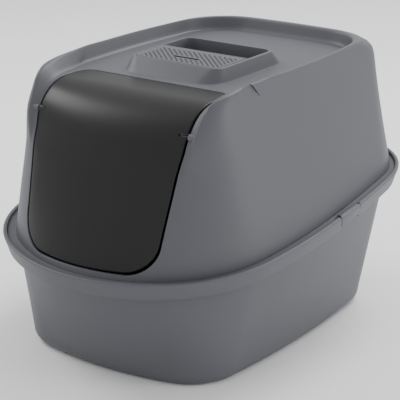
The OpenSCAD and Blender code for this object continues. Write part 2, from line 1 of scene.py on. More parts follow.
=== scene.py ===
import math
import bmesh
import bpy
import numpy as np
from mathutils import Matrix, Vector


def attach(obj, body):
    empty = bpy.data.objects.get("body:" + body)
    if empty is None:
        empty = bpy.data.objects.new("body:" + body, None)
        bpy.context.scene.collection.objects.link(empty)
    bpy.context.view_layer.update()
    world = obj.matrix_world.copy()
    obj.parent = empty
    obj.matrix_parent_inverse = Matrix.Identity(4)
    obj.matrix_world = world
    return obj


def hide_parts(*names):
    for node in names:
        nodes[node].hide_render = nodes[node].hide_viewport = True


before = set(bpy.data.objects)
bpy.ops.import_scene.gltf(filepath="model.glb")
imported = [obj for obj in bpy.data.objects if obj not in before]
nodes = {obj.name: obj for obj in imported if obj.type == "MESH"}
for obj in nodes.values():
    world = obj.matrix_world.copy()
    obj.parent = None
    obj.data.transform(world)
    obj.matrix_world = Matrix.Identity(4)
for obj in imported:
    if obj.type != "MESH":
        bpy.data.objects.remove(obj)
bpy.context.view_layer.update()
print("frame loaded")

# All shapes below are worked out in millimetres and put into the meshes in metres.
mm = 0.001


# curves and meshes

def mix(a, b, t):
    return a + (b - a) * t


def smoothThrough(x, xs, ys):
    # a cubic in each span of the points; the slope at a point is the weighted harmonic mean of the
    # slopes of its two spans, and zero where they change sign, so the curve never overshoots
    xs, ys = np.asarray(xs, float), np.asarray(ys, float)
    span = np.diff(xs)
    rise = np.diff(ys) / span
    slope = np.zeros_like(ys)
    slope[0], slope[-1] = rise[0], rise[-1]
    w1, w2 = 2 * span[1:] + span[:-1], span[1:] + 2 * span[:-1]
    steady = rise[:-1] * rise[1:] > 0
    safe = np.where(rise == 0, 1, rise)
    slope[1:-1] = np.where(steady, (w1 + w2) / (w1 / safe[:-1] + w2 / safe[1:]), 0)
    x = np.clip(x, xs[0], xs[-1])
    i = np.clip(np.searchsorted(xs, x, side="right") - 1, 0, len(xs) - 2)
    h = span[i]
    t = (x - xs[i]) / h
    return ((1 + 2 * t) * (1 - t) ** 2 * ys[i] + t * (1 - t) ** 2 * h * slope[i]
            + t * t * (3 - 2 * t) * ys[i + 1] + t * t * (t - 1) * h * slope[i + 1])


def rowsBetween(a, b, shares):
    # straight lines from each point of a to its partner in b, at the given shares of the way
    shares = np.asarray(shares, float)[:, None, None]
    return a[None] + (b - a)[None] * shares


def rollOver(a, corner, b, steps):
    # a rounded fold: the quadratic curve that leaves a towards corner and arrives at b from it
    t = np.linspace(0, 1, steps + 1)[:, None, None]
    return (1 - t) ** 2 * a[None] + 2 * t * (1 - t) * corner[None] + t * t * b[None]


def along(a, b, length, most=0.4):
    # the point that lies length away from a towards b, at most that share of the way
    way = b - a
    dist = np.linalg.norm(way, axis=-1, keepdims=True)
    return a + way * np.minimum(length / np.maximum(dist, 1e-6), most)


def mirrored(grid):
    # the same grid on the other side of the middle plane
    return grid * np.array([-1, 1, 1])


def meshFromGrids(name, grids, material, closedColumns=False, weld=0.004, sharp=32):
    # each grid is rows by columns of points; neighbours make quads, and points that meet are welded
    points, quads, start = [], [], 0
    for grid in grids:
        r, c = grid.shape[:2]
        index = start + np.arange(r * c).reshape(r, c)
        if closedColumns:
            index = np.concatenate([index, index[:, :1]], 1)
        quads.append(np.stack([index[:-1, :-1], index[:-1, 1:], index[1:, 1:], index[1:, :-1]],
                              -1).reshape(-1, 4))
        points.append(grid.reshape(-1, 3))
        start += r * c
    mesh = bpy.data.meshes.new(name)
    mesh.from_pydata((np.concatenate(points) * mm).tolist(), [], np.concatenate(quads).tolist())
    work = bmesh.new()
    work.from_mesh(mesh)
    bmesh.ops.remove_doubles(work, verts=work.verts, dist=weld * mm)
    bmesh.ops.dissolve_degenerate(work, edges=work.edges, dist=0.001 * mm)
    bmesh.ops.recalc_face_normals(work, faces=work.faces)
    work.to_mesh(mesh)
    work.free()
    piece = bpy.data.objects.new(name, mesh)
    bpy.context.scene.collection.objects.link(piece)
    mesh.materials.append(material)
    finishShading(mesh, sharp)
    return piece


def finishShading(mesh, sharp):
    mesh.shade_smooth()
    mesh.set_sharp_from_angle(angle=math.radians(sharp))


def openEdges(piece):
    work = bmesh.new()
    work.from_mesh(piece.data)
    count = sum(1 for edge in work.edges if len(edge.link_faces) != 2)
    work.free()
    return count


def settle(piece, sharp=32):
    # replaces the mesh by what its modifiers make of it
    result = bpy.data.meshes.new_from_object(piece.evaluated_get(bpy.context.evaluated_depsgraph_get()))
    old = piece.data
    piece.modifiers.clear()
    piece.data = result
    result.name = piece.name
    bpy.data.meshes.remove(old)
    finishShading(result, sharp)
    return piece


def cutAway(piece, cutter, sharp=32):
    cut = piece.modifiers.new("cut", "BOOLEAN")
    cut.operation, cut.solver, cut.object = "DIFFERENCE", "EXACT", cutter
    settle(piece, sharp)
    bpy.data.objects.remove(cutter)
    return piece


def bevelEdges(piece, width, segments=3, angle=40):
    bevel = piece.modifiers.new("bevel", "BEVEL")
    bevel.width, bevel.segments = width * mm, segments
    bevel.limit_method, bevel.angle_limit = "ANGLE", math.radians(angle)
    return settle(piece, 50)


def joined(name, pieces):
    # several closed parts of one moulding as one object
    target = pieces[0]
    target.name = target.data.name = name
    work = bmesh.new()
    for piece in pieces:
        work.from_mesh(piece.data)
    work.to_mesh(target.data)
    work.free()
    for piece in pieces[1:]:
        bpy.data.objects.remove(piece)
    return target


def prism(name, outline, low, high, axis, material):
    # an outline in two axes, carried straight along the third
    flat = np.asarray(outline, float)
    order = {"x": [2, 0, 1], "y": [0, 2, 1], "z": [0, 1, 2]}[axis]
    ends = [np.concatenate([flat, np.full((len(flat), 1), v)], 1)[:, order] for v in (low, high)]
    middle = [np.repeat(e.mean(0)[None], len(flat), 0) for e in ends]
    return meshFromGrids(name, [np.stack([middle[0], ends[0], ends[1], middle[1]])], material, True)


def tube(name, profile, start, end, material, steps=40):
    # a profile of radius against distance, turned about the line from start to end
    start, end = np.asarray(start, float), np.asarray(end, float)
    axis = (end - start) / np.linalg.norm(end - start)
    side = np.cross(axis, [0.0, 0.0, 1.0])
    if np.linalg.norm(side) < 0.1:
        side = np.cross(axis, [0.0, 1.0, 0.0])
    side /= np.linalg.norm(side)
    up = np.cross(axis, side)
    turn = np.linspace(0, 2 * np.pi, steps, endpoint=False)
    ring = np.cos(turn)[:, None] * side + np.sin(turn)[:, None] * up
    profile = np.asarray(profile, float)
    grid = start + profile[:, 1][:, None, None] * axis + profile[:, 0][:, None, None] * ring[None]
    return meshFromGrids(name, [grid], material, True)


# materials

def nodeGroup(name, inputs, outputs):
    group = bpy.data.node_groups.new(name, "ShaderNodeTree")
    for label, kind, value in inputs:
        socket = group.interface.new_socket(label, in_out="INPUT", socket_type=kind)
        socket.default_value = value
    for label, kind in outputs:
        group.interface.new_socket(label, in_out="OUTPUT", socket_type=kind)
    source, sink = group.nodes.new("NodeGroupInput"), group.nodes.new("NodeGroupOutput")
    return group, source, sink


def noiseNode(tree, scaleFrom, vector, detail, factor=None):
    noise = tree.nodes.new("ShaderNodeTexNoise")
    noise.inputs["Detail"].default_value = detail
    if factor is not None:
        times = tree.nodes.new("ShaderNodeMath")
        times.operation = "MULTIPLY"
        times.inputs[1].default_value = factor
        tree.links.new(scaleFrom, times.inputs[0])
        scaleFrom = times.outputs[0]
    tree.links.new(scaleFrom, noise.inputs["Scale"])
    tree.links.new(vector, noise.inputs["Vector"])
    return noise


def mapRange(tree, value, low, high, fromLow=0.3, fromHigh=0.7):
    node = tree.nodes.new("ShaderNodeMapRange")
    node.inputs["From Min"].default_value, node.inputs["From Max"].default_value = fromLow, fromHigh
    tree.links.new(value, node.inputs["Value"])
    for label, bound in (("To Min", low), ("To Max", high)):
        if isinstance(bound, (int, float)):
            node.inputs[label].default_value = bound
        else:
            tree.links.new(bound, node.inputs[label])
    return node.outputs["Result"]


def mathNode(tree, operation, a, b):
    node = tree.nodes.new("ShaderNodeMath")
    node.operation = operation
    for socket, value in zip(node.inputs, (a, b)):
        if isinstance(value, (int, float)):
            socket.default_value = value
        else:
            tree.links.new(value, socket)
    return node.outputs[0]


def mouldedGrain():
    # fine spark-eroded grain with slow clouds of shade and gloss, as on injection-moulded plastic
    group, source, sink = nodeGroup(
        "mouldedGrain",
        [("Color", "NodeSocketColor", (0.1, 0.1, 0.11, 1)), ("Clouds", "NodeSocketFloat", 0.06),
         ("Roughness", "NodeSocketFloat", 0.45), ("Gloss Spread", "NodeSocketFloat", 0.08),
         ("Grain Scale", "NodeSocketFloat", 1400)],
        [("Color", "NodeSocketColor"), ("Roughness", "NodeSocketFloat"), ("Height", "NodeSocketFloat")])
    place = group.nodes.new("ShaderNodeTexCoord").outputs["Object"]
    clouds = noiseNode(group, source.outputs["Grain Scale"], place, 3, 0.006).outputs["Fac"]
    grain = noiseNode(group, source.outputs["Grain Scale"], place, 2).outputs["Fac"]
    swing = mathNode(group, "MULTIPLY", mathNode(group, "SUBTRACT", clouds, 0.5), source.outputs["Clouds"])
    shade = mathNode(group, "ADD", 1.0, mathNode(group, "MULTIPLY", swing, 2.0))
    scaled = group.nodes.new("ShaderNodeVectorMath")
    scaled.operation = "SCALE"
    group.links.new(source.outputs["Color"], scaled.inputs[0])
    group.links.new(shade, scaled.inputs["Scale"])
    group.links.new(scaled.outputs[0], sink.inputs["Color"])
    both = mathNode(group, "ADD", mathNode(group, "MULTIPLY", grain, 0.5),
                    mathNode(group, "MULTIPLY", clouds, 0.5))
    low = mathNode(group, "SUBTRACT", source.outputs["Roughness"], source.outputs["Gloss Spread"])
    high = mathNode(group, "ADD", source.outputs["Roughness"], source.outputs["Gloss Spread"])
    group.links.new(mapRange(group, both, low, high), sink.inputs["Roughness"])
    group.links.new(grain, sink.inputs["Height"])
    return group


grainGroup = mouldedGrain()


def plastic(name, look):
    material = bpy.data.materials.new(name)
    material.use_nodes = True
    tree = material.node_tree
    shader = tree.nodes["Principled BSDF"]
    grain = tree.nodes.new("ShaderNodeGroup")
    grain.node_tree = grainGroup
    grain.inputs["Color"].default_value = (*look["color"], 1)
    grain.inputs["Clouds"].default_value = look["clouds"]
    grain.inputs["Roughness"].default_value = look["roughness"]
    grain.inputs["Gloss Spread"].default_value = look["glossSpread"]
    grain.inputs["Grain Scale"].default_value = look["grainScale"]
    bump = tree.nodes.new("ShaderNodeBump")
    bump.inputs["Strength"].default_value = look["bump"]
    bump.inputs["Distance"].default_value = look["bumpDepth"] * mm
    tree.links.new(grain.outputs["Color"], shader.inputs["Base Color"])
    tree.links.new(grain.outputs["Roughness"], shader.inputs["Roughness"])
    tree.links.new(grain.outputs["Height"], bump.inputs["Height"])
    tree.links.new(bump.outputs["Normal"], shader.inputs["Normal"])
    shader.inputs["Specular IOR Level"].default_value = look["specular"]
    shader.inputs["Coat Weight"].default_value = look["coat"]
    shader.inputs["Coat Roughness"].default_value = look["coatRoughness"]
    return material


looks = {
    "shell": {"color": (0.085, 0.088, 0.1), "clouds": 0.05, "roughness": 0.5, "glossSpread": 0.06,
              "grainScale": 1300, "bump": 0.25, "bumpDepth": 0.12, "specular": 0.45, "coat": 0.0,
              "coatRoughness": 0.3},
    "door": {"color": (0.017, 0.017, 0.018), "clouds": 0.06, "roughness": 0.36, "glossSpread": 0.03,
             "grainScale": 1600, "bump": 0.08, "bumpDepth": 0.06, "specular": 0.22, "coat": 0.0,
             "coatRoughness": 0.22},
    "pin": {"color": (0.16, 0.16, 0.17), "clouds": 0.05, "roughness": 0.35, "glossSpread": 0.08,
            "grainScale": 1800, "bump": 0.1, "bumpDepth": 0.05, "specular": 0.5, "coat": 0.2,
            "coatRoughness": 0.2},
    "carbon": {"color": (0.02, 0.02, 0.021), "clouds": 0.5, "roughness": 0.9, "glossSpread": 0.08,
               "grainScale": 500, "bump": 1.0, "bumpDepth": 1.2, "specular": 0.2, "coat": 0.0,
               "coatRoughness": 0.5},
}
shellPlastic = plastic("shellPlastic", looks["shell"])
doorPlastic = plastic("doorPlastic", looks["door"])
pinPlastic = plastic("pinPlastic", looks["pin"])
carbonFoam = plastic("carbonFoam", looks["carbon"])
print("materials ready")


# sections that the tray, the hood and the door share

def quarterPoint(q, a, b, r, sideSwell, endSwell):
    # a quarter of a rounded rectangle with swollen sides: q runs from 0 at the middle of the side to 1
    # at the middle of the end; both straight runs are parabolas and the corner is an arc
    xc, yc = a - sideSwell - r, b - endSwell - r
    t = np.clip(q * 4, 0, 1)
    tEnd = 1 - np.clip(q * 4 - 3, 0, 1)
    turn = np.where(
        q < 0.25, np.arctan(2 * sideSwell * t / yc),
        np.where(q < 0.75, mix(np.arctan(2 * sideSwell / yc), np.pi / 2 - np.arctan(2 * endSwell / xc),
                               np.clip(q * 2 - 0.5, 0, 1)),
                 np.pi / 2 - np.arctan(2 * endSwell * tEnd / xc)))
    x = np.where(q < 0.75, xc + sideSwell * (1 - t * t), tEnd * xc) + r * np.cos(turn)
    y = np.where(q < 0.25, t * yc, yc + endSwell * (1 - tEnd * tEnd)) + r * np.sin(turn)
    return x, y


def ringPoint(w, section):
    # w runs round the right half of a section: 0 front middle, 1 side, 2 rear middle
    a, front, rear, rf, rr, ssf, ssr, esf, esr = section
    ahead = w < 1
    x, y = quarterPoint(np.where(ahead, 1 - w, w - 1), a, np.where(ahead, front, rear),
                        np.where(ahead, rf, rr), np.where(ahead, ssf, ssr), np.where(ahead, esf, esr))
    return x, np.where(ahead, -y, y)


def frontParam(x, section):
    # the place w at which the front of a section has that x, found by halving
    low, high = np.zeros_like(x), np.ones_like(x)
    for step in range(36):
        q = (low + high) / 2
        px = quarterPoint(q, section[0], section[1], section[3], section[5], section[7])[0]
        low, high = np.where(px > x, q, low), np.where(px > x, high, q)
    return 1 - (low + high) / 2


def evenParams(section, start, stop, count):
    # places w that are spaced evenly along the section's outline
    w = np.linspace(start, stop, 1200)
    x, y = ringPoint(w, section)
    length = np.concatenate([[0], np.cumsum(np.hypot(np.diff(x), np.diff(y)))])
    return np.interp(np.linspace(0, length[-1], count), length, w)


def shrunk(section, inset):
    return tuple(s - inset if i < 5 else s for i, s in enumerate(section))


rim = {"section": (209, 280, 280, 166, 120, 8, 8, 10, 10), "middleHeight": 176.5, "slope": 57 / 560}


def rimRing(w, inset, up):
    x, y = ringPoint(w, shrunk(rim["section"], inset))
    return np.stack([x, y, rim["middleHeight"] + rim["slope"] * y + up], -1)


# tray

tray = {
    "foot": (163, 220, 226, 73, 73, 8, 8, 10, 10), "floorRadius": 16, "wall": 3.2, "skirtHeight": 22,
    "skirtLean": 6.5, "skirtWall": 2.6, "wallInset": 20, "channelDepth": 4, "channelInset": 6.5,
    "ridgeInset": 21, "ridgeWall": 2.4, "ridgeHeight": 2.5, "columns": 120,
}
latch = {
    "back": 40, "length": 48, "slant": 9, "wall": 2.6, "gap": 1.4, "frontGap": 2.4, "top": -0.6,
    "low": -18.8, "reach": 10, "axisX": -11.336, "axisZ": -18.4, "barrel": 5.2, "barrelHalf": 12,
    "windowDepth": 8, "windowOver": 3, "slotHalf": 5, "cutBeyond": 4, "lug": 3.4, "lugGap": 0.6,
    "lugRoot": 22.6, "webFront": 6.8,
}


def footRing(w, inset, z):
    x, y = ringPoint(w, shrunk(tray["foot"], inset))
    return np.stack([x, y, np.full_like(x, z)], -1)


def wholeRing(half):
    # the right half from front to rear, then the left half back to the front
    return np.concatenate([half, mirrored(half[:, ::-1])[:, 1:-1]], 1)


def buildTray(v):
    w = evenParams(rim["section"], 0, 2, v["columns"] + 1)
    r, t = v["floorRadius"], v["wall"]
    turns = np.radians(np.linspace(90, 0, 10))
    rows = [footRing(w, r, 0) * s for s in ([0, 0, 1], [0.7, 0.7, 1])]
    rows += [footRing(w, r * (1 - math.cos(a)), r * (1 - math.sin(a))) for a in turns]
    wallTop = rimRing(w, v["wallInset"], -v["skirtHeight"])
    rows += list(rowsBetween(rows[-1], wallTop, np.linspace(0, 1, 14)[1:]))
    deck = -v["channelDepth"] - t
    face, skirt, bottom = v["wallInset"], v["skirtLean"], -v["skirtHeight"]
    foot = skirt + v["skirtWall"]
    lean = v["skirtWall"] - skirt * deck / v["skirtHeight"]
    floor, ridge, channel = -v["channelDepth"], v["ridgeInset"], v["channelInset"]
    crown = floor + v["ridgeHeight"]
    back = ridge + v["ridgeWall"]
    # inset from the rim's edge and height over it: under the deck, round the skirt, over the lip,
    # down into the channel and over the ridge
    profile = [(face, deck - 3), (face - 0.6, deck - 1), (face - 2, deck - 0.2), (face - 4, deck),
               (lean + 1.5, deck), (lean + 0.4, deck - 0.5), (lean + 0.3, deck - 2), (foot - 0.3, bottom + 1),
               (foot - 0.4, bottom + 0.3), (foot - 0.9, bottom), (skirt + 0.8, bottom),
               (skirt + 0.15, bottom + 0.4), (skirt - 0.3, bottom + 1.3), (skirt * 0.55, -12), (0.75, -4.2),
               (0.3, -2.6), (0.2, -1.8), (0.35, -1.0), (0.8, -0.4), (1.5, -0.05), (2.4, 0), (4.3, 0),
               (4.9, -0.15), (5.3, -0.5), (5.6, -1.1), (channel - 0.5, floor + 0.9),
               (channel - 0.1, floor + 0.25), (channel + 0.6, floor), (ridge - 0.7, floor),
               (ridge - 0.2, floor + 0.2), (ridge, floor + 0.7), (ridge, crown - 0.5), (ridge + 0.5, crown),
               (back - 0.5, crown), (back, crown - 0.5), (back, floor)]
    rows += [rimRing(w, inset, up) for inset, up in profile]
    innerTop = rimRing(w, v["wallInset"] + t, -v["skirtHeight"])
    rows += list(rowsBetween(rows[-1], innerTop, [0.3, 0.65, 1]))
    floorEdge = footRing(w, t, r)
    rows += list(rowsBetween(rows[-1], floorEdge, np.linspace(0, 1, 14)[1:-1]))
    inner = r - t
    rows += [footRing(w, t + inner * (1 - math.cos(a)), t + inner * (1 - math.sin(a)))
             for a in turns[::-1]]
    rows += [rows[-1] * s for s in ([0.7, 0.7, 1], [0, 0, 1])]
    return meshFromGrids("trayShell", [wholeRing(np.stack(rows))], shellPlastic, True)


# the latch's own frame: X outward, Y along the tilted rim, Z square to it; the rim's side is a parabola,
# which at the latch lies sideSwell * (back / straight) ** 2 inside its widest point
rimTilt = math.atan(rim["slope"])
sideSwell = rim["section"][6]
straight = rim["section"][2] - rim["section"][4] - rim["section"][8]
sideReach = rim["section"][0] - sideSwell * (latch["back"] / straight) ** 2


def latchPlace(points, side):
    x, y, z = points[..., 0] + sideReach, points[..., 1], points[..., 2]
    c, s = math.cos(rimTilt), math.sin(rimTilt)
    height = rim["middleHeight"] + rim["slope"] * latch["back"]
    return np.stack([x * side, latch["back"] + y * c - z * s, height + y * s + z * c], -1)


def latchOutline(front, rear, top):
    # the slanted face of a latch, grown by gaps at its front and rear ends
    half, slant = latch["length"] / 2, latch["slant"]
    run = slant * (latch["top"] - top) / (latch["top"] - latch["low"])
    return [[-half + run - front, top], [half + run / 2 + rear, top], [half + slant / 2 + rear, latch["low"]],
            [-half + slant - front, latch["low"]]]


def latchSlab(name, depths, outline, side, material):
    # an outline in the skirt's leaning face, carried between two depths behind that face
    outline = np.array(outline, float)
    lean = math.atan(tray["skirtLean"] / tray["skirtHeight"])
    rings = []
    for depth in depths:
        x = depth * math.cos(lean) + outline[:, 1] * math.sin(lean)
        z = -depth * math.sin(lean) + outline[:, 1] * math.cos(lean)
        rings.append(latchPlace(np.stack([x, outline[:, 0], z], -1), side))
    ends = [np.repeat(ring.mean(0)[None], len(outline), 0) for ring in rings]
    return meshFromGrids(name, [np.stack([ends[0], *rings, ends[-1]])], material, True)


def latchBox(name, low, high, side, material):
    x = np.array([low[0], high[0], high[0], low[0]])
    y = np.array([low[1], low[1], high[1], high[1]])
    rings = [latchPlace(np.stack([x, y, np.full(4, z, float)], -1), side) for z in (low[2], high[2])]
    ends = [np.repeat(ring.mean(0)[None], 4, 0) for ring in rings]
    return meshFromGrids(name, [np.stack([ends[0], *rings, ends[-1]])], material, True)


def latchTube(name, radius, y0, y1, side, material, edge=0.4):
    ends = latchPlace(np.array([[latch["axisX"], y0, latch["axisZ"]], [latch["axisX"], y1, latch["axisZ"]]]),
                      side)
    long = y1 - y0
    profile = [(0, 0), (radius - edge, 0), (radius, edge), (radius, long - edge), (radius - edge, long),
               (0, long)]
    return tube(name, profile, ends[0], ends[1], material, 28)


trayShell = buildTray(tray)
print("tray", len(trayShell.data.polygons), "faces, open edges", openEdges(trayShell))
window = latchOutline(latch["frontGap"], latch["gap"], latch["windowOver"])
# the window stays open below the latch, so that it can swing out
below = -tray["skirtHeight"] - latch["windowOver"]
window[3:3] = [[window[2][0], below], [window[3][0], below]]
lugs = []
for side in (-1, 1):
    depths = (-latch["windowDepth"], latch["cutBeyond"])
    cutAway(trayShell, latchSlab("cut", depths, window, side, shellPlastic))
    slot = latch["length"] / 2 + latch["gap"]
    cutAway(trayShell, latchBox("cut", (-latch["reach"] - latch["gap"], -slot, -latch["slotHalf"]),
                                (latch["cutBeyond"], slot, latch["slotHalf"]), side, shellPlastic))
for side in (-1, 1):
    for end in (-1, 1):
        near = latch["barrelHalf"] + latch["lugGap"]
        y0, y1 = sorted((end * near, end * (near + latch["lug"])))
        half = latch["barrel"] / 2
        lugs.append(latchTube("lug", half, y0, y1, side, shellPlastic, 0.3))
        lugs.append(latchBox("lug", (-latch["lugRoot"], y0 + 0.05, latch["axisZ"] - half),
                             (latch["axisX"], y1 - 0.05, latch["axisZ"] + half), side, shellPlastic))
trayShell = joined("trayShell", [trayShell, *lugs])
finishShading(trayShell.data, 32)
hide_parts("tray")
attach(trayShell, "tray_body")


def buildLatch(side, label):
    slab = latchSlab("slab", (-latch["wall"], 0), latchOutline(0, 0, latch["top"]), side, shellPlastic)
    bevelEdges(slab, 0.7)
    half = latch["length"] / 2
    lip = latchBox("lip", (-latch["reach"], latch["slant"] / 2 - half, latch["top"] - latch["wall"]),
                   (-0.9, half - 0.1, latch["top"]), side, shellPlastic)
    bevelEdges(lip, 0.5)
    barrel = latchTube("barrel", latch["barrel"] / 2, -latch["barrelHalf"], latch["barrelHalf"], side,
                       shellPlastic)
    web = latchBox("web", (latch["axisX"], -latch["barrelHalf"] + 0.3, latch["low"] + 0.8),
                   (-latch["webFront"], latch["barrelHalf"] - 0.3, latch["low"] + 3.2), side, shellPlastic)
    piece = joined("latchPlate" + label, [slab, lip, barrel, web])
    finishShading(piece.data, 40)
    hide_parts("latch_" + label.lower())
    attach(piece, "latch_" + label.lower() + "_body")
    return piece


buildLatch(-1, "Left")
buildLatch(1, "Right")
print("latches built")


# the hood's two surfaces

hood = {
    "seat": 145.929, "top": 348, "crest": 367, "seatHalf": 193, "crestHalf": 146, "reach": 264, "wall": 3,
    "bendRadius": 65, "bendStart": 132, "bendAxis": 283, "bendEnd": 78, "bendSwell": 14,
    "bendCorner": 60, "topCorner": 30, "flatFrom": 9, "flatStep": 40,
}
# levels of the outer body: height, front and rear draw-in, front and rear corner radius, front swell
bodyShares = np.array([0, 0.37, 0.58, 0.8, 0.965, 1])
bodyLevels = np.concatenate([mix(hood["seat"], hood["top"], bodyShares), [359.4, 367]])
bodyFront = [0, 28, 43, 55, 78, 84, 104, 139]
bodyRear = [0, 2, 3, 4, 5, 6, 24, 45]
bodyFrontRadius = [152, 110, 86, 64, 44, 40, 30, 33]
bodyRearRadius = [104, 92, 84, 74, 66, 66, 70, 77]
bodySwell = [10, 8, 8, 4, 1, 0, 0, 0]


def levelSlope(h):
    return rim["slope"] * np.maximum(0, 1 - (h - hood["seat"]) / (hood["top"] - hood["seat"]))


def halfWidthAt(h):
    return mix(hood["seatHalf"], hood["crestHalf"], (h - hood["seat"]) / (hood["crest"] - hood["seat"]))


def bodySection(h, inset=0):
    # the outer body at a level; the level's share of the height drives the side swells
    share = np.clip((h - hood["seat"]) / (hood["top"] - hood["seat"]), 0, 1)
    section = (halfWidthAt(h), hood["reach"] - smoothThrough(h, bodyLevels, bodyFront),
               hood["reach"] - smoothThrough(h, bodyLevels, bodyRear),
               smoothThrough(h, bodyLevels, bodyFrontRadius), smoothThrough(h, bodyLevels, bodyRearRadius),
               8 - 4 * share, 8 + 3 * share, smoothThrough(h, bodyLevels, bodySwell), 2 + 0 * h)
    return shrunk(section, inset)


def bodyPoint(w, h, inset=0):
    x, y = ringPoint(w, bodySection(h, inset))
    return np.stack([x, y, h + levelSlope(h) * (y + hood["reach"])], -1)


def sunkenSection(k, inset=0):
    # the body under the sunken top: k 0 to 3 climbs the leaning front, and k 3 to 9 goes round the bend;
    # there the front reaches start + (radius - inset) * sin(turn), plus the swell, and the level is
    # axis + (radius - inset) * cos(turn)
    turn = hood["bendEnd"] * np.clip((hood["flatFrom"] - k) / 6, 0, 1)
    bent = np.clip(turn / hood["bendEnd"], 0, 1)
    radius = hood["bendRadius"] - inset

    def level(t):
        return hood["bendAxis"] + radius * np.cos(np.radians(t))

    def reach(t):
        return hood["bendStart"] + radius * np.sin(np.radians(t)) + hood["bendSwell"] * t / hood["bendEnd"]

    # the leaning front passes through the body's first three levels and runs half a step into the bend
    marks = [0, 1, 2, 3, 3.5]
    first, second = hood["bendEnd"], hood["bendEnd"] * 5.5 / 6
    reaches = [hood["reach"] - draw - inset for draw in bodyFront[:3]]
    corners = [r - inset for r in bodyFrontRadius[:3]]
    low = k < 3
    h = np.where(low, smoothThrough(k, marks, [*bodyLevels[:3], level(first), level(second)]), level(turn))
    front = np.where(low, smoothThrough(k, marks, [*reaches, reach(first), reach(second)]), reach(turn))
    rf = np.where(low, smoothThrough(k, marks, [*corners, hood["bendCorner"], 57.5]),
                  mix(hood["topCorner"], hood["bendCorner"], bent))
    esf = np.where(low, smoothThrough(k, marks, [*bodySwell[:3], hood["bendSwell"], 12.8]),
                   hood["bendSwell"] * bent)
    levels = [0, 1, 2, 3, hood["flatFrom"]]
    rears = [hood["reach"] - draw for draw in bodyRear[:3]]
    rear = smoothThrough(k, levels, [*rears, 258.5, 258]) - inset
    rr = smoothThrough(k, levels, [*bodyRearRadius[:3], 66, 66]) - inset
    ssf = smoothThrough(k, levels, [8, 6.5, 5.7, 4, 4])
    ssr = smoothThrough(k, levels, [8, 9.1, 9.7, 11, 11])
    return (halfWidthAt(h) - inset, front, rear, rf, rr, ssf, ssr, esf, 2 + 0 * k), h


def sunkenPoint(w, k, inset=0):
    section, h = sunkenSection(k, inset)
    x, y = ringPoint(w, section)
    return np.stack([x, y, h + levelSlope(h) * (y + hood["reach"])], -1)


def sunkenAt(x, k, inset=0):
    # the same surface by x; past k = 9 it is the flat top, 40 mm for each 1 of k
    flat = np.maximum(k - hood["flatFrom"], 0)
    k = np.minimum(k, hood["flatFrom"])
    point = sunkenPoint(frontParam(np.abs(x), sunkenSection(k, inset)[0]), k, inset)
    return np.stack([x, point[..., 1] + flat * hood["flatStep"], point[..., 2]], -1)


def sunkenParam(x, z):
    # the k at which the leaning front has that height at that x
    low, high = np.zeros_like(x), np.full_like(x, hood["flatFrom"] - 0.001)
    for step in range(34):
        k = (low + high) / 2
        below = sunkenAt(x, k)[..., 2] < z
        low, high = np.where(below, k, low), np.where(below, high, k)
    return (low + high) / 2


def bodyParam(x, z):
    # the level h and the place w at which the outer body's front passes through x and z
    h = z + 0.0 * x
    for step in range(12):
        w = frontParam(x, bodySection(h))
        y = ringPoint(w, bodySection(h))[1]
        h = z - levelSlope(h) * (y + hood["reach"])
    return w, h


# the door's outline; the hood's edge lies the gap outside it
doorway = {"halfTop": 113, "halfLow": 102, "bottom": 155, "lowRadius": 38, "topRadius": 19, "trail": 113,
           "pivotHeight": 315.643, "gap": 2.4, "edgeRound": 1.3}


def doorHalf(z, grow):
    # half the door's width at a height: a line from the lower corner to the pivots, and grow more
    low = doorway["bottom"] + doorway["lowRadius"]
    return mix(doorway["halfLow"], doorway["halfTop"],
               np.clip((z - low) / (doorway["pivotHeight"] - low), 0, 1)) + grow


# hood

# the vent's sizes come first, because the hood's top is open under it
vent = {
    "half": 70, "front": 60, "rear": 71, "sideFlare": 7, "frontFlare": 20, "rearFlare": 24, "radius": 14,
    "baseRound": 20, "middle": 7, "holeHalf": 71, "holeReach": 78, "edge": 3.6, "top": 365.5, "shelf": 352.5,
    "divider": (11.4, 14.0), "pocketDepth": 40, "pocketIn": 0.2, "pocketOut": 2.6, "pocketRound": 8,
    "under": 3,
}
# counts of points come first, then the crest and the foot of its inner slope
shape = {
    "underDoor": 12, "lowCorner": 14, "lowSide": 12, "cheek": 38, "around": 76, "crestLift": 2.1,
    "liftFrom": 305, "liftRun": 55, "crestRound": 5.5, "footRound": 6.0, "fade": 270.0, "fadeReach": 7,
    "seatMarks": (66, 110, 146), "footSection": (136, 209, 209, 67, 67, 4, 4, 1, 1), "footStop": -82,
    "rest": 8,
}


